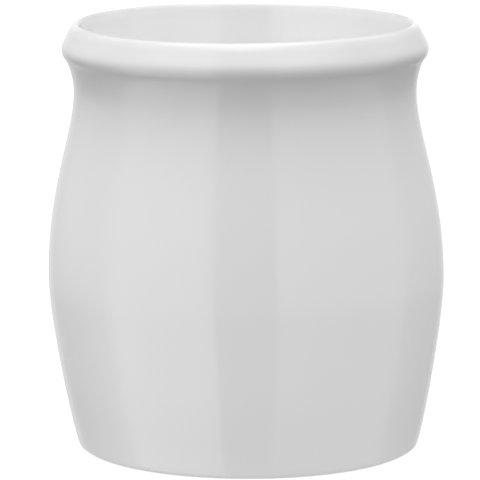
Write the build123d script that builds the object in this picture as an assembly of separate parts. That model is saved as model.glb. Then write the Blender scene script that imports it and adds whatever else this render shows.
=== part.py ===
from build123d import *
import os
from math import cos, radians, sin

# A desk pen cup: one fired piece of white glazed porcelain, standing on four stick-on silicone pads.
# The cup is a solid of revolution: a rolled rim, a narrow neck, a full belly and a raised foot ring.
# Frame: millimetres, +Z up, origin on the desk plane under the cup's axis, -Y towards the user.
# Profile points are (radius, height), with heights counted from the bottom of the foot ring.

# ---- Overall ----
CUP_HEIGHT = 100.0  # foot ring to crest of the rim
PAD_STAND_OFF = 0.5  # how far the pads hold the foot ring off the desk
WALL = 3.4

# ---- Belly and neck: the two places where the wall stands upright ----
BELLY_RADIUS = 46.35
BELLY_HEIGHT = 40.2
NECK_RADIUS = 39.95
NECK_HEIGHT = 84.0
# How far each upright tangent carries along the wall before it bends away
BELLY_REACH_DOWN = 9.3
BELLY_REACH_UP = 21.2
NECK_REACH_DOWN = 10.0
NECK_REACH_UP = 3.7

# ---- Rim: a rolled bead, a leaning face above it, and a narrow crest with a crisp inner lip ----
RIM_RADIUS = 42.7
BEAD_ARC = 3.2
BEAD_START_LEAN = 42.0  # degrees, lean outwards where the hollow under the rim meets the bead
BEAD_START_REACH = 0.9
FACE_LEAN = 26.0  # degrees, lean inwards of the face between bead and crest
CREST_RADIUS = 39.2  # where the rim is highest
CREST_ARC = 1.4
LIP_ARC = 0.8
THROAT_LEAN = 7.0  # degrees, lean of the inner wall as it narrows from the lip to the neck
THROAT_REACH = 5.0

# ---- Foot ----
FOOT_LAND_OUTER = 38.3  # the flat land that stood on the kiln shelf
FOOT_LAND_INNER = 35.2
FOOT_CORNER = 1.8
FOOT_LEAN = 18.0  # degrees, lean outwards of the wall as it leaves the foot
FOOT_REACH = 5.8
RECESS_DEPTH = 2.0
RECESS_ARC = 0.9
RECESS_SLOPE = 60.0  # degrees above the horizontal, the inner flank of the foot ring

# ---- Floor ----
FLOOR = 4.2
FLOOR_CORNER = 7.0
WELL_FOOT_RADIUS = 38.0  # inner wall radius where the floor corner ends
WELL_FOOT_LEAN = 11.0  # degrees, lean outwards of the inner wall there
WELL_FOOT_REACH = 9.0

# ---- Pads ----
PAD_RADIUS = 5.0
PAD_DRAFT = 6.0  # degrees
PAD_EDGE = 0.5
PAD_CIRCLE_RADIUS = 27.0
PAD_ANGLES = {
    "foot_pad_rear_right": 45.0,
    "foot_pad_rear_left": 135.0,
    "foot_pad_front_left": 225.0,
    "foot_pad_front_right": 315.0,
}

UP = Vector(0, 1)
BELLY = Vector(BELLY_RADIUS, BELLY_HEIGHT)
NECK = Vector(NECK_RADIUS, NECK_HEIGHT)
WALL_INWARDS = Vector(-WALL, 0)


def leaning(angle):
    """Unit direction that goes up and leans away from the axis by this many degrees."""
    return Vector(sin(radians(angle)), cos(radians(angle)))


def facing(angle):
    """Unit direction that points away from the axis and up by this many degrees."""
    return Vector(cos(radians(angle)), sin(radians(angle)))


def curve(start, start_reach, end, end_reach):
    """Cubic curve that leaves start along start_reach and arrives at end along end_reach."""
    return Bezier(start, start + start_reach, end - end_reach, end)


def foot_outside():
    """Land, corner and the wall's lower sweep up to the belly."""
    land = Line(Vector(FOOT_LAND_INNER, 0), Vector(FOOT_LAND_OUTER, 0))
    corner = JernArc(land @ 1, (1, 0), FOOT_CORNER, 90 - FOOT_LEAN)
    sweep = curve(corner @ 1, leaning(FOOT_LEAN) * FOOT_REACH, BELLY, UP * BELLY_REACH_DOWN)
    return [land, corner, sweep]


def wall_outside():
    """From the belly over the neck, then up the bead and the leaning face to the crest."""
    crest_centre = Vector(CREST_RADIUS, CUP_HEIGHT - CREST_ARC)
    # The leaning face touches the bead and the crest, which fixes the height of the bead's centre.
    across = RIM_RADIUS - BEAD_ARC - CREST_RADIUS
    drop = (BEAD_ARC - CREST_ARC + across * cos(radians(FACE_LEAN))) / sin(radians(FACE_LEAN))
    bead_centre = crest_centre + Vector(across, -drop)
    bead_start = bead_centre + facing(-BEAD_START_LEAN) * BEAD_ARC

    shoulder = curve(BELLY, UP * BELLY_REACH_UP, NECK, UP * NECK_REACH_DOWN)
    hollow = curve(
        NECK, UP * NECK_REACH_UP, bead_start, leaning(BEAD_START_LEAN) * BEAD_START_REACH
    )
    bead = JernArc(bead_start, leaning(BEAD_START_LEAN), BEAD_ARC, BEAD_START_LEAN + FACE_LEAN)
    face = Line(bead @ 1, crest_centre + facing(FACE_LEAN) * CREST_ARC)
    crest = JernArc(face @ 1, leaning(-FACE_LEAN), CREST_ARC, 90 - FACE_LEAN)
    return [shoulder, hollow, bead, face, crest]


def inside():
    """From the crest over the lip, down the wall and across the floor to the axis."""
    lip = JernArc(Vector(CREST_RADIUS, CUP_HEIGHT), (-1, 0), LIP_ARC, 90 - THROAT_LEAN)
    neck = NECK + WALL_INWARDS
    belly = BELLY + WALL_INWARDS
    throat = curve(lip @ 1, leaning(THROAT_LEAN) * -THROAT_REACH, neck, UP * -THROAT_REACH)
    shoulder = curve(neck, UP * -NECK_REACH_DOWN, belly, UP * -BELLY_REACH_UP)

    floor_height = RECESS_DEPTH + FLOOR
    corner_reach = facing(-WELL_FOOT_LEAN) * FLOOR_CORNER
    corner_centre = Vector(WELL_FOOT_RADIUS - corner_reach.X, floor_height + FLOOR_CORNER)
    corner_start = corner_centre + corner_reach
    down = leaning(WELL_FOOT_LEAN) * -1
    sweep = curve(belly, UP * -BELLY_REACH_DOWN, corner_start, down * WELL_FOOT_REACH)
    corner = JernArc(corner_start, down, FLOOR_CORNER, WELL_FOOT_LEAN - 90)
    floor = Line(corner @ 1, Vector(0, floor_height))
    return [lip, throat, shoulder, sweep, corner, floor]


def underside():
    """From the axis out under the recess, then down the foot ring's inner flank to its land."""
    slope = radians(RECESS_SLOPE)
    # Both ends of the flank are the same arc, so its straight stretch is what they leave over.
    arc_rise = RECESS_ARC * (1 - cos(slope))
    flank_length = (RECESS_DEPTH - 2 * arc_rise) / sin(slope)
    flank_run = flank_length * cos(slope) + 2 * RECESS_ARC * sin(slope)
    ceiling = Line(Vector(0, RECESS_DEPTH), Vector(FOOT_LAND_INNER - flank_run, RECESS_DEPTH))
    upper = JernArc(ceiling @ 1, (1, 0), RECESS_ARC, -RECESS_SLOPE)
    flank = PolarLine(upper @ 1, flank_length, -RECESS_SLOPE)
    lower = JernArc(flank @ 1, facing(-RECESS_SLOPE), RECESS_ARC, RECESS_SLOPE)
    return [ceiling, upper, flank, lower]


def cup_body():
    """The porcelain cup: its profile turned round the axis, lifted onto the pads."""
    axis_line = Line(Vector(0, RECESS_DEPTH + FLOOR), Vector(0, RECESS_DEPTH))
    outline = foot_outside() + wall_outside() + inside() + [axis_line] + underside()
    profile = make_face(Plane.XZ * Curve(outline))
    return Pos(0, 0, PAD_STAND_OFF) * revolve(profile, Axis.Z)


def foot_pad(angle):
    """A drafted silicone disc: its wide face is glued into the recess, its rounded end meets the desk."""
    height = PAD_STAND_OFF + RECESS_DEPTH
    glued_face = Plane((0, 0, height), z_dir=(0, 0, -1)) * Circle(PAD_RADIUS)
    disc = extrude(glued_face, height, taper=PAD_DRAFT)
    desk_edge = disc.edges().group_by(Axis.Z)[0]
    return Rot(0, 0, angle) * Pos(PAD_CIRCLE_RADIUS, 0, 0) * fillet(desk_edge, PAD_EDGE)


os.makedirs("parts", exist_ok=True)
export_step(cup_body(), "parts/cup_body.step")
for name, angle in PAD_ANGLES.items():
    export_step(foot_pad(angle), f"parts/{name}.step")
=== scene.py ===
import math

import bmesh
import bpy
import numpy as np
from mathutils import Matrix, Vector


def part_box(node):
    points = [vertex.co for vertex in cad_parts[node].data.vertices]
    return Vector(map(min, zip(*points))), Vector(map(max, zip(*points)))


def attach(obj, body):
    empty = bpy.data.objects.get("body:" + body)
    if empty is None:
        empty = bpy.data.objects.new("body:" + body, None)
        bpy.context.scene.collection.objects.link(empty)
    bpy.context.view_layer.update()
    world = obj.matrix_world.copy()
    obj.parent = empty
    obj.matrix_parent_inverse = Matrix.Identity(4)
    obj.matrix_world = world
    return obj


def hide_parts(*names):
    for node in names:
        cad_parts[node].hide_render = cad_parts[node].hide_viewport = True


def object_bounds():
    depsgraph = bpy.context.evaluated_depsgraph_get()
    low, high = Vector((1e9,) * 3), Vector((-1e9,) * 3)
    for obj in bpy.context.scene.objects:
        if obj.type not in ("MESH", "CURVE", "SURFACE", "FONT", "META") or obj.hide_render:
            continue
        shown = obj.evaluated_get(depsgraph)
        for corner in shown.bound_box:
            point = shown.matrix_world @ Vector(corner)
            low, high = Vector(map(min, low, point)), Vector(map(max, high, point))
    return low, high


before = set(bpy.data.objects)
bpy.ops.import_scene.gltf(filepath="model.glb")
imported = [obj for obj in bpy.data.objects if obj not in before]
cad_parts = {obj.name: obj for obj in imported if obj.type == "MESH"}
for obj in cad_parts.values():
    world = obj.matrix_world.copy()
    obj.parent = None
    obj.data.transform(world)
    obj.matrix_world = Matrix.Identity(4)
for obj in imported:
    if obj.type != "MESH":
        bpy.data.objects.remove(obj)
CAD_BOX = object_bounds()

MM = 0.001

# A white glazed porcelain pen cup on four silicone pads. Each piece is the outline of its CAD node,
# smoothed and turned round that node's own axis, then given what firing, glazing and use leave on it.
# Metres, in the CAD frame: +Z up, -Y towards the camera.

# ---- Turning ----
CUP_SEGMENTS = 252
PAD_SEGMENTS = 96
LONGEST_STEP = 0.85 * MM  # along an outline
SHARPEST_TURN = math.radians(5.0)  # between two steps of an outline
FLAT_STEP = 2.6 * MM  # between rings of a flat disc
POINT_GRID = 0.001 * MM  # outline points closer than this are one point

# ---- What the kiln did to the cup ----
LEAN = -0.77 * MM  # drift of the rim along X, from an upright axis
BOW = -0.20 * MM  # how far the axis bends along X at half height
OVALITY = 0.05 * MM
OVAL_TURN = 0.8  # radians
RIM_TILT = 0.11 * MM  # rise of the rim's +X side
RIM_WARP = -0.14 * MM  # how far the rim lies out of flat, as a saddle
RIPPLE = 0.010 * MM  # unevenness of the glazed surface
RIPPLE_SEED = 7
RIPPLE_WAVES = range(2, 9)  # how many waves of the ripple go round the cup
RIPPLE_CLIMB = 3.0  # most waves from the foot to the rim
STEADY_FOOT = 0.1  # share of the height over which the ripple sets in

# ---- Glaze ----
GLAZE_THICKNESS = 0.14 * MM
GLAZE_LINE = 0.55 * MM  # height above the foot ring's land where the glaze was wiped off
GLAZE_ROLL = 0.30 * MM  # height over which its edge rounds off
WELL_LIGHT_EDGE = 0.6 * MM  # how far below the crest the well's painted light reaches full strength
LIP_SHADE_OFFSET = 0.55 * MM  # how far inside the crest the painted shade on the lip is darkest
LIP_SHADE_SPREAD = 0.6 * MM  # how far the painted shade reaches to both sides
HOLLOW_RADIUS = 4.0 * MM  # glaze gathers fully in a hollow as tight as this
RIM_HEIGHT = 3.0 * MM  # the rim's shoulders are within this of the crest
# Where the glaze ran thin over them: the way each shoulder faces, turning from straight out to straight
# up and on, how much glaze is missing there, and how far along the outline.
SHOULDERS = {
    "outer": (math.radians(50), 0.13 * MM, 1.1 * MM),
    "inner": (math.radians(145), 0.16 * MM, 0.7 * MM),
}

# ---- Colours and surface detail ----
OUTSIDE_WHITES = ((0.853, 0.853, 0.852, 1), (0.865, 0.865, 0.865, 1))
GATHERED_WHITE = (0.842, 0.844, 0.844, 1)
GATHERED_SHARE = 0.5  # most that gathered glaze takes on of its own white
# Painted light: the well is painted whiter than the outside
WELL_PAINTED_LIGHT = (0.925, 0.925, 0.925, 1)
# Painted shade on the inner lip, just inside the crest
LIP_PAINTED_SHADE = (0.79, 0.79, 0.79, 1)
BISCUITS = ((0.77, 0.765, 0.75, 1), (0.86, 0.855, 0.845, 1))
MILKS = ((0.76, 0.78, 0.77, 1), (0.82, 0.83, 0.82, 1))
DUST = (0.55, 0.54, 0.52, 1)
DUST_SHARE = 0.5  # most that dust hides
DUST_PATCHES = (0.62, 0.70)  # the noise values between which dust sets in
# Noise scales, in waves per metre
CLOUD_SCALE = 55.0
PEEL_SCALE = 420.0
GRAIN_SCALE = 2600.0
HAZE_SCALE = 700.0
DUST_SCALE = 3200.0
PEEL_DEPTH = 0.002 * MM
GRAIN_TO_PEEL = 6.0  # the biscuit's grain is this many times as deep as the orange peel
HAZE_DEPTH = 0.004 * MM
GLAZE_ROUGHNESS = (0.045, 0.075)
BARE_ROUGHNESS = 0.72  # added where the glaze is gone
SILICONE_ROUGHNESS = 0.32
DUST_ROUGHNESS = 0.3  # added where dust lies
SILICONE_DEPTH = 1.5 * MM  # how far light spreads under the surface
SILICONE_MILKINESS = 0.6  # share of the light that does
GLAZE_IOR = 1.5
SILICONE_IOR = 1.41

# ---- Camera and light paths ----
CAMERA_DISTANCE = 1.0329  # in front of the cup's axis
CAMERA_HEIGHT = 0.2268  # above the foot ring
CAMERA_PITCH = math.radians(9.79)
CAMERA_ROLL = math.radians(0.03)
CAMERA_SHIFT = -0.00197  # along X
CAMERA_LENS = 336.0  # millimetres
CAMERA_SENSOR = 36.0
CAMERA_CLIP = (0.05, 20.0)
SOFTNESS = 2.2  # pixels over which the lens blurs
MOST_BOUNCES = 16
MOST_DIFFUSE_BOUNCES = 12


# ---------------------------------------------------------------- outlines

def node_centre(node):
    low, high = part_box(node)
    return (low + high) / 2


def node_points(node):
    """The vertices of a CAD node, as offsets from its upright axis and heights."""
    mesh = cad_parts[node].data
    centre = node_centre(node)
    points = np.empty(len(mesh.vertices) * 3)
    mesh.vertices.foreach_get("co", points)
    return points.reshape(-1, 3) - (centre.x, centre.y, 0.0)


def stacked_outline(node):
    """The (radius, height) outline of a turned node that has one radius at each height, top first."""
    points = node_points(node)
    radius = np.hypot(points[:, 0], points[:, 1])
    heights = np.round(points[:, 2] / POINT_GRID).astype(int)
    levels = np.unique(heights)[::-1]
    return np.array([(radius[heights == level].mean(), level * POINT_GRID) for level in levels])


def seam_outline(node):
    """The (radius, height) outline of a turned CAD node whose seam runs along +X, top first."""
    points = node_points(node)
    on_seam = (abs(points[:, 1]) < POINT_GRID) & (points[:, 0] > POINT_GRID)
    keys = [None] * len(points)
    for index in np.nonzero(on_seam)[0]:
        keys[index] = tuple(int(round(value / POINT_GRID)) for value in points[index, [0, 2]])
    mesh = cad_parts[node].data
    neighbours = {}
    for edge in mesh.edges:
        first, second = (keys[index] for index in edge.vertices)
        if first is None or second is None or first == second:
            continue
        neighbours.setdefault(first, set()).add(second)
        neighbours.setdefault(second, set()).add(first)

    ends = [key for key, beside in neighbours.items() if len(beside) == 1]
    walk = [max(ends, key=lambda key: key[1])]
    while True:
        onward = [key for key in neighbours[walk[-1]] if len(walk) < 2 or key != walk[-2]]
        if not onward:
            return np.array(walk, float) * POINT_GRID
        walk.append(onward[0])


def smooth(points):
    """The same outline with a smooth cubic through its points, in short steps of small turn."""
    chords = np.diff(points, axis=0)
    lengths = np.linalg.norm(chords, axis=1)
    slopes = chords / lengths[:, None]
    tangents = np.empty_like(points)
    before, after = lengths[:-1, None], lengths[1:, None]
    tangents[1:-1] = (after * slopes[:-1] + before * slopes[1:]) / (before + after)
    tangents[0], tangents[-1] = slopes[0], slopes[-1]

    result = [points[0]]
    for index, length in enumerate(lengths):
        start, end = points[index], points[index + 1]
        leave, arrive = tangents[index] * length, tangents[index + 1] * length
        cosine = np.dot(tangents[index], tangents[index + 1])
        cosine /= np.linalg.norm(tangents[index]) * np.linalg.norm(tangents[index + 1])
        turn = math.acos(max(-1.0, min(1.0, cosine)))
        steps = max(1, math.ceil(length / LONGEST_STEP), math.ceil(turn / SHARPEST_TURN))
        for step in range(1, steps + 1):
            t = step / steps
            result.append(
                (1 + 2 * t) * (1 - t) ** 2 * start
                + t * (1 - t) ** 2 * leave
                + t * t * (3 - 2 * t) * end
                - t * t * (1 - t) * arrive
            )
    return np.array(result)


def close_with_discs(outline):
    """Adds the rings of the flat faces that run from the outline's two ends to its axis."""
    def disc(rim):
        rings = max(2, math.ceil(rim[0] / FLAT_STEP))
        return [np.array((rim[0] * ring / rings, rim[1])) for ring in range(1, rings)]

    return np.array(disc(outline[0]) + list(outline) + disc(outline[-1])[::-1])


def outline_normals(outline):
    """Unit (radial, upward) normals of an outline that runs inside first, pointing out of the solid."""
    along = np.gradient(outline, axis=0)
    along /= np.linalg.norm(along, axis=1)[:, None]
    return np.stack((-along[:, 1], along[:, 0]), axis=1)


# ---------------------------------------------------------------- turned meshes

def placed(name, data):
    """A new object in the scene."""
    thing = bpy.data.objects.new(name, data)
    bpy.context.scene.collection.objects.link(thing)
    return thing


def turned_piece(name, outline, centre, segments, change=None, marks=None):
    """A closed mesh: outline turned round the upright axis through centre.

    change(points, normals, angles) returns the moved points, and marks holds one value per ring for
    each named attribute that the materials read.
    """
    rings = len(outline)
    angles = np.arange(segments) * 2 * math.pi / segments
    around = np.stack((np.cos(angles), np.sin(angles)), axis=1)
    normals = outline_normals(outline)

    def spin(pairs):
        turned = np.empty((rings, segments, 3))
        turned[:, :, :2] = pairs[:, 0][:, None, None] * around[None]
        turned[:, :, 2] = pairs[:, 1][:, None]
        return turned

    points = spin(outline)
    if change:
        points = change(points, spin(normals), angles)
    points[:, :, 0] += centre.x
    points[:, :, 1] += centre.y
    first_pole = points[0].mean(axis=0)
    last_pole = points[-1].mean(axis=0)
    vertices = np.vstack((points.reshape(-1, 3), [first_pole, last_pole]))

    here = np.arange(segments)
    there = np.roll(here, -1)
    faces = []
    for ring in range(rings - 1):
        low, high = ring * segments, (ring + 1) * segments
        faces += np.stack((low + here, high + here, high + there, low + there), axis=1).tolist()
    first, last = rings * segments, rings * segments + 1
    top = (rings - 1) * segments
    faces += [(first, int(a), int(b)) for a, b in zip(here, there)]
    faces += [(last, int(top + b), int(top + a)) for a, b in zip(here, there)]

    mesh = bpy.data.meshes.new(name)
    mesh.from_pydata(vertices.tolist(), [], faces)
    mesh.polygons.foreach_set("use_smooth", [True] * len(mesh.polygons))
    for mark, values in (marks or {}).items():
        spread = np.concatenate((np.repeat(values, segments), [values[0], values[-1]]))
        attribute = mesh.attributes.new(mark, "FLOAT", "POINT")
        attribute.data.foreach_set("value", spread.astype(np.float32))
    mesh.update()
    return placed(name, mesh)


def smooth_step(values, low, high):
    share = np.clip((values - low) / (high - low), 0.0, 1.0)
    return share * share * (3 - 2 * share)


# ---------------------------------------------------------------- the cup

def fired(foot, height):
    """How the kiln and the glaze leave the cup: a slight lean, an oval, a warped rim, a faint ripple."""
    random = np.random.default_rng(RIPPLE_SEED)
    waves = [
        (around, upward, random.uniform(0, 2 * math.pi), 1 / (1 + around))
        for around in RIPPLE_WAVES
        for upward in random.uniform(-RIPPLE_CLIMB, RIPPLE_CLIMB, 2)
    ]

    def change(points, normals, angles):
        share = np.clip((points[:, :, 2:3] - foot) / height, 0.0, 1.0)
        angle = angles[None, :, None]
        outwards = np.zeros_like(points)
        outwards[:, :, 0], outwards[:, :, 1] = np.cos(angles), np.sin(angles)
        moved = points + outwards * OVALITY * np.cos(2 * angle + OVAL_TURN) * share
        moved[:, :, 2:3] += (RIM_WARP * np.sin(2 * angle) + RIM_TILT * np.cos(angle)) * share**3
        bowed = 4 * share * (1 - share)  # 1 at half height
        moved[:, :, 0:1] += LEAN * share + BOW * bowed
        ripple = sum(
            weight * np.sin(around * angle + upward * 2 * math.pi * share + phase)
            for around, upward, phase, weight in waves
        )
        return moved + normals * RIPPLE * ripple * smooth_step(share, 0.0, STEADY_FOOT)

    return change


def make_cup():
    outline = smooth(seam_outline("cup_body"))
    outline = close_with_discs(outline)
    foot = outline[:, 1].min()
    height = outline[:, 1].max() - foot

    # The land of the foot ring is bare: the glaze stops just above it, in a rounded edge.
    above_land = outline[:, 1] - foot
    bare = 1 - smooth_step(above_land, GLAZE_LINE, GLAZE_LINE + GLAZE_ROLL)
    normals = outline_normals(outline)
    cut_back = GLAZE_THICKNESS * bare * smooth_step(above_land, 0, GLAZE_LINE / 2)
    outline = outline - normals * cut_back[:, None]

    # It ran thin over the rim's shoulders, which rounds them.
    crest = int(np.argmax(outline[:, 1]))
    travel = np.append(0.0, np.linalg.norm(np.diff(outline, axis=0), axis=1).cumsum())
    lean = np.unwrap(np.arctan2(normals[:, 1], normals[:, 0]))
    near_rim = outline[:, 1] > outline[crest, 1] - RIM_HEIGHT
    for faces, missing, spread in SHOULDERS.values():
        shoulder = int(np.argmin(np.where(near_rim, abs(lean - faces), np.inf)))
        beside = (travel - travel[shoulder]) / spread
        outline = outline - normals * (missing * np.exp(-beside**2))[:, None]

    # Glaze gathers in hollows.
    step = np.linalg.norm(np.gradient(outline, axis=0), axis=1)
    bend = np.gradient(lean) / step
    gathered = np.clip(bend * HOLLOW_RADIUS, -1, 1)

    # Painted light: the well is painted whiter than the outside, to stand in for light that reaches
    # inside it, except over the lip.
    inside = np.where(np.arange(len(outline)) < crest, 1.0, 0.0)
    inside *= smooth_step(foot + height - outline[:, 1], 0, WELL_LIGHT_EDGE)

    # Painted shade: a greyer band just inside the crest.
    lip_shade = np.exp(-(((travel - travel[crest] + LIP_SHADE_OFFSET) / LIP_SHADE_SPREAD) ** 2))

    marks = {"bare": bare, "gathered": gathered, "inside": inside, "lip_shade": lip_shade}
    piece = turned_piece(
        "cup_porcelain", outline, node_centre("cup_body"), CUP_SEGMENTS, fired(foot, height), marks
    )
    piece.data.materials.append(glaze_material())
    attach(piece, "root")
    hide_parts("cup_body")


# ---------------------------------------------------------------- the pads

def make_pad(node, silicone):
    centre = node_centre(node)
    outline = smooth(stacked_outline(node))
    outline = close_with_discs(outline)
    piece = turned_piece(f"{node}_silicone", outline, centre, PAD_SEGMENTS)
    piece.data.materials.append(silicone)
    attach(piece, "root")
    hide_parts(node)


# ---------------------------------------------------------------- materials

class Nodes:
    """A node tree with short calls for the nodes that the materials and the studio use."""

    def __init__(self, owner):
        owner.use_nodes = True
        self.tree = owner.node_tree
        self.tree.nodes.clear()

    def add(self, kind, settings=None, **inputs):
        node = self.tree.nodes.new(kind)
        for key, value in (settings or {}).items():
            setattr(node, key, value)
        for key, value in inputs.items():
            self.feed(node.inputs[key.replace("_", " ")], value)
        return node

    def feed(self, socket, value):
        if isinstance(value, bpy.types.NodeSocket):
            self.tree.links.new(value, socket)
        else:
            socket.default_value = value

    def math(self, operation, *values, clamp=False):
        node = self.tree.nodes.new("ShaderNodeMath")
        node.operation = operation
        node.use_clamp = clamp
        for socket, value in zip(node.inputs, values):
            self.feed(socket, value)
        return node.outputs[0]

    def blend(self, share, first, second):
        node = self.tree.nodes.new("ShaderNodeMix")
        node.data_type = "RGBA"
        self.feed(node.inputs["Factor"], share)
        self.feed(node.inputs["A"], first)
        self.feed(node.inputs["B"], second)
        return node.outputs["Result"]

    def together(self, first, second):
        """Both shaders at once."""
        node = self.tree.nodes.new("ShaderNodeAddShader")
        self.feed(node.inputs[0], first)
        self.feed(node.inputs[1], second)
        return node.outputs[0]

    def either(self, share, first, second):
        """The first shader where share is 0, the second where it is 1."""
        node = self.tree.nodes.new("ShaderNodeMixShader")
        self.feed(node.inputs[0], share)
        self.feed(node.inputs[1], first)
        self.feed(node.inputs[2], second)
        return node.outputs[0]

    def lit(self, strength):
        return self.add("ShaderNodeEmission", Strength=strength).outputs[0]

    def clear(self):
        return self.add("ShaderNodeBsdfTransparent").outputs[0]

    def attribute(self, name):
        return self.add("ShaderNodeAttribute", {"attribute_name": name}).outputs["Fac"]

    def noise(self, place, scale, detail=2.0, roughness=0.5):
        node = self.add(
            "ShaderNodeTexNoise", Vector=place, Scale=scale, Detail=detail, Roughness=roughness
        )
        return node.outputs["Fac"]

    def window(self, value, low, high):
        """0 below low, 1 above high, eased between."""
        node = self.add(
            "ShaderNodeMapRange", {"interpolation_type": "SMOOTHSTEP"},
            Value=value, From_Min=low, From_Max=high,
        )
        return node.outputs["Result"]


def glaze_material():
    """White gloss glaze with a faint orange peel, over a matt biscuit that shows on the foot ring."""
    material = bpy.data.materials.new("white_glaze")
    n = Nodes(material)
    place = n.add("ShaderNodeTexCoord").outputs["Object"]
    bare, gathered = n.attribute("bare"), n.attribute("gathered")
    inside, lip_shade = n.attribute("inside"), n.attribute("lip_shade")

    cloud = n.noise(place, CLOUD_SCALE, 3.0)
    white = n.blend(cloud, *OUTSIDE_WHITES)
    white = n.blend(n.math("MULTIPLY", gathered, GATHERED_SHARE, clamp=True), white, GATHERED_WHITE)
    # Painted light: the whiter well
    white = n.blend(inside, white, WELL_PAINTED_LIGHT)
    # Painted shade: the greyer band on the inner lip
    white = n.blend(lip_shade, white, LIP_PAINTED_SHADE)
    grain = n.noise(place, GRAIN_SCALE, 3.0, 0.7)
    biscuit = n.blend(grain, *BISCUITS)

    low, high = GLAZE_ROUGHNESS
    glossy = n.math("MULTIPLY_ADD", cloud, high - low, low)
    roughness = n.math("ADD", glossy, n.math("MULTIPLY", bare, BARE_ROUGHNESS), clamp=True)
    grit = n.math("MULTIPLY", n.math("MULTIPLY", grain, bare), GRAIN_TO_PEEL)
    relief = n.math("ADD", n.noise(place, PEEL_SCALE), grit)
    bump = n.add("ShaderNodeBump", Distance=PEEL_DEPTH, Height=relief).outputs["Normal"]

    surface = n.add(
        "ShaderNodeBsdfPrincipled",
        Base_Color=n.blend(bare, white, biscuit), Roughness=roughness, IOR=GLAZE_IOR, Normal=bump,
    )
    n.add("ShaderNodeOutputMaterial", Surface=surface.outputs[0])
    return material


def silicone_material():
    """Milky, slightly tacky silicone: soft under the surface, with dust on it."""
    material = bpy.data.materials.new("clear_silicone")
    n = Nodes(material)
    place = n.add("ShaderNodeTexCoord").outputs["Object"]
    dust = n.window(n.noise(place, DUST_SCALE), *DUST_PATCHES)
    haze = n.noise(place, HAZE_SCALE)
    milk = n.blend(haze, *MILKS)
    surface = n.add(
        "ShaderNodeBsdfPrincipled",
        Base_Color=n.blend(n.math("MULTIPLY", dust, DUST_SHARE), milk, DUST),
        Roughness=n.math("MULTIPLY_ADD", dust, DUST_ROUGHNESS, SILICONE_ROUGHNESS),
        IOR=SILICONE_IOR,
        Subsurface_Weight=SILICONE_MILKINESS,
        Subsurface_Scale=SILICONE_DEPTH,
        Normal=n.add("ShaderNodeBump", Distance=HAZE_DEPTH, Height=haze).outputs["Normal"],
    )
    n.add("ShaderNodeOutputMaterial", Surface=surface.outputs[0])
    return material


def floor_material():
    """Plain pale floor, lifted to white round the cup, and clear from below."""
    material = bpy.data.materials.new("pale_floor")
    n = Nodes(material)
    pale = n.add("ShaderNodeBsdfDiffuse", Color=FLOOR_COLOUR).outputs[0]
    below = n.add("ShaderNodeNewGeometry").outputs["Backfacing"]
    surface = n.either(below, n.together(pale, n.lit(FLOOR_LIFT)), n.clear())
    n.add("ShaderNodeOutputMaterial", Surface=surface)
    return material


# ---------------------------------------------------------------- studio

def facing(azimuth, elevation):
    """Unit direction: azimuth in degrees from the camera's side towards +X, elevation in degrees."""
    azimuth, elevation = math.radians(azimuth), math.radians(elevation)
    level = math.cos(elevation)
    return (level * math.sin(azimuth), -level * math.cos(azimuth), math.sin(elevation))


FLOOR_SIZE = 6.0
FLOOR_COLOUR = (0.92, 0.92, 0.92, 1)
FLOOR_LIFT = 0.6  # keeps the floor round the cup white to the camera
GLOW_GAP = 0.3 * MM  # below the floor
GLOW_CORNERS = 64
# Inner radius, outer radius, brightness
GLOW_RINGS = ((0.0, 0.05, 0.6), (0.05, 0.08, 0.4), (0.08, 0.12, 1.3))

# Brightness, the direction it comes from, radius, fade: all angles in degrees.
ROUND_LIGHTS = {
    "overhead": (2.4, facing(-20, 82), 18, 22),
    "front_left": (0.75, facing(-45, 58), 15, 25),
    "front_right": (1.1, facing(40, 58), 15, 25),
}
# The walls' tiers, below, level with and above the cup: the elevation at which each ends, and how far it
# fades there.
TIERS = ((-48, 20), (-10, 20), (20, 20), (50, 20))
# A wall's two sides, each an azimuth and how far it fades there, then its brightness in each tier.
# The camera stands in the dark gap between the left and the right wall.
WALLS = {
    "left": ((-100, 30), (-21, 16), (0.45, 0.8, 0.45)),
    "right": ((17.5, 3), (100, 30), (0.25, 0.6, 0.4)),
    "rear_left": ((-140, 30), (-100, 30), (0.0, 0.85, 0.7)),
    "rear_right": ((100, 30), (140, 30), (0.15, 0.6, 0.95)),
    "backdrop_left": ((-190, 2), (-140, 30), (0.35, 0.7, 0.0)),
    "backdrop_right": ((140, 30), (190, 2), (0.35, 0.7, 0.0)),
}
CARD_DISTANCE = 3.0
CARD_SUBDIVISIONS = 4
CARD_TIERS = ((-65, 15), (-35, 15), (-10, 15), (15, 15), (45, 15))
# Cards that only show as reflections in the glaze, laid out like the walls.
CARDS = {
    "left": ((-87, 15), (-18.5, 3), (0.7, 0.95, 0.6, 0.3)),
    "right": ((17.5, 3), (105, 10), (0.1, 0.45, 0.4, 0.0)),
    "edge_left": ((-190, 2), (-152, 18), (0.0, 0.3, 0.2, 0.0)),
    "edge_right": ((158, 16), (190, 2), (0.0, 0.35, 0.25, 0.0)),
}


def make_floor():
    half = FLOOR_SIZE / 2
    level = CAD_BOX[0].z
    mesh = bpy.data.meshes.new("floor")
    corners = [(-half, -half, level), (half, -half, level), (half, half, level), (-half, half, level)]
    mesh.from_pydata(corners, [], [(0, 1, 2, 3)])
    mesh.materials.append(floor_material())
    floor = placed("floor", mesh)
    # The floor only shows the cup's shadow: the studio below the horizon still lights the cup.
    floor.visible_diffuse = False
    floor.visible_glossy = False
    floor.visible_shadow = False


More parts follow.
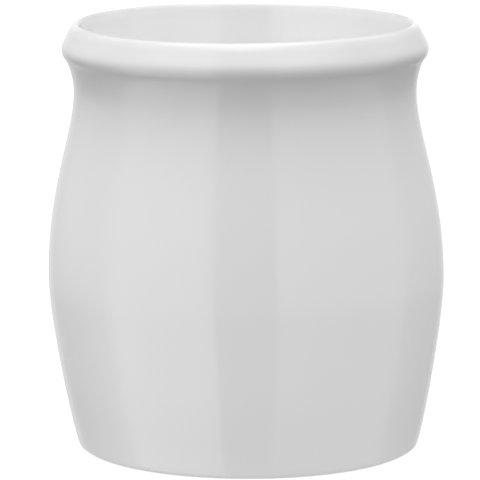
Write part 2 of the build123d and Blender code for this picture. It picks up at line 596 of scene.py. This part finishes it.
def make_glow():
    """The light that a bright table throws up onto the cup, without the table: the camera sees none."""
    level = CAD_BOX[0].z - GLOW_GAP
    for inner, outer, brightness in GLOW_RINGS:
        angles = [2 * math.pi * corner / GLOW_CORNERS for corner in range(GLOW_CORNERS)]
        corners = [(r * math.cos(a), r * math.sin(a), level) for r in (inner, outer) for a in angles]
        faces = []
        for here in range(GLOW_CORNERS):
            there = (here + 1) % GLOW_CORNERS
            faces.append((here, GLOW_CORNERS + here, GLOW_CORNERS + there, there))
        mesh = bpy.data.meshes.new("glow")
        mesh.from_pydata(corners, [], faces)
        material = bpy.data.materials.new("glow")
        n = Nodes(material)
        n.add("ShaderNodeOutputMaterial", Surface=n.together(n.lit(brightness), n.clear()))
        mesh.materials.append(material)
        glow = placed("glow", mesh)
        glow.visible_camera = False
        glow.visible_glossy = False
        glow.visible_shadow = False


def round_light(n, toward, brightness, direction, radius, fade):
    """A round soft light: full within radius of its direction, fading to nothing over fade degrees."""
    across = n.add("ShaderNodeVectorMath", {"operation": "DOT_PRODUCT"})
    n.feed(across.inputs[0], toward)
    n.feed(across.inputs[1], direction)
    angle = n.math("ARCCOSINE", across.outputs["Value"])
    shut = n.window(angle, math.radians(radius), math.radians(radius + fade))
    return n.math("MULTIPLY", n.math("SUBTRACT", 1.0, shut), brightness)


def between(n, value, start, end):
    """1 between two angles, easing to 0 past each: an end is an angle and how far it fades there."""
    (start, start_fade), (end, end_fade) = start, end

    def past(middle, fade):
        return n.window(value, math.radians(middle - fade / 2), math.radians(middle + fade / 2))

    entered = past(start, start_fade)
    left = past(end, end_fade)
    return n.math("MULTIPLY", entered, n.math("SUBTRACT", 1.0, left))


def wall_light(n, toward, walls, tiers):
    """The light of a set of walls, seen along a direction."""
    part = n.add("ShaderNodeSeparateXYZ", Vector=toward).outputs
    azimuth = n.math("ARCTAN2", part["X"], n.math("MULTIPLY", part["Y"], -1.0))
    elevation = n.math("ARCSINE", part["Z"])
    bands = [between(n, elevation, low, high) for low, high in zip(tiers, tiers[1:])]
    total = 0.0
    for left, right, brightness in walls.values():
        column = 0.0
        for band, bright in zip(bands, brightness):
            column = n.math("MULTIPLY_ADD", band, bright, column)
        total = n.math("MULTIPLY_ADD", column, between(n, azimuth, left, right), total)
    return total


def make_world():
    """White studio: the camera sees plain white, the cup sees soft lights in the dim round it."""
    world = bpy.data.worlds.new("studio")
    bpy.context.scene.world = world
    n = Nodes(world)
    toward = n.add("ShaderNodeTexCoord").outputs["Generated"]
    total = wall_light(n, toward, WALLS, TIERS)
    for light in ROUND_LIGHTS.values():
        total = n.math("ADD", total, round_light(n, toward, *light))

    lights = n.add("ShaderNodeBackground", Color=(1, 1, 1, 1), Strength=total).outputs[0]
    white = n.add("ShaderNodeBackground", Color=(1, 1, 1, 1), Strength=1.0).outputs[0]
    seen = n.add("ShaderNodeLightPath").outputs["Is Camera Ray"]
    n.add("ShaderNodeOutputWorld", Surface=n.either(seen, lights, white))


def make_cards():
    """Bright cards that only the glaze's reflections see, on a globe round the cup."""
    mesh = bpy.data.meshes.new("cards")
    globe = bmesh.new()
    bmesh.ops.create_icosphere(globe, subdivisions=CARD_SUBDIVISIONS, radius=CARD_DISTANCE)
    globe.to_mesh(mesh)
    globe.free()
    material = bpy.data.materials.new("cards")
    material.cycles.emission_sampling = "NONE"
    n = Nodes(material)
    place = n.add("ShaderNodeTexCoord").outputs["Object"]
    toward = n.add("ShaderNodeVectorMath", {"operation": "NORMALIZE"}, Vector=place).outputs["Vector"]
    light = n.lit(wall_light(n, toward, CARDS, CARD_TIERS))
    n.add("ShaderNodeOutputMaterial", Surface=n.together(light, n.clear()))
    mesh.materials.append(material)
    cards = placed("cards", mesh)
    cards.visible_camera = False
    cards.visible_diffuse = False
    cards.visible_shadow = False


def make_camera():
    data = bpy.data.cameras.new("camera")
    data.sensor_width = CAMERA_SENSOR
    data.lens = CAMERA_LENS
    data.clip_start, data.clip_end = CAMERA_CLIP
    camera = placed("camera", data)
    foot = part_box("cup_body")[0].z
    camera.location = (CAMERA_SHIFT, -CAMERA_DISTANCE, foot + CAMERA_HEIGHT)
    tilt = Matrix.Rotation(math.pi / 2 - CAMERA_PITCH, 4, "X")
    camera.rotation_euler = (tilt @ Matrix.Rotation(-CAMERA_ROLL, 4, "Z")).to_euler()
    bpy.context.scene.camera = camera


make_cup()
silicone = silicone_material()
for node in sorted(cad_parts):
    if node.startswith("foot_pad"):
        make_pad(node, silicone)
make_floor()
make_glow()
make_world()
make_cards()
make_camera()

cycles = bpy.context.scene.cycles
cycles.filter_width = SOFTNESS
# White glaze passes light on many times, above all inside the well.
cycles.max_bounces = MOST_BOUNCES
cycles.diffuse_bounces = MOST_DIFFUSE_BOUNCES
bpy.context.scene.view_settings.view_transform = "Standard"
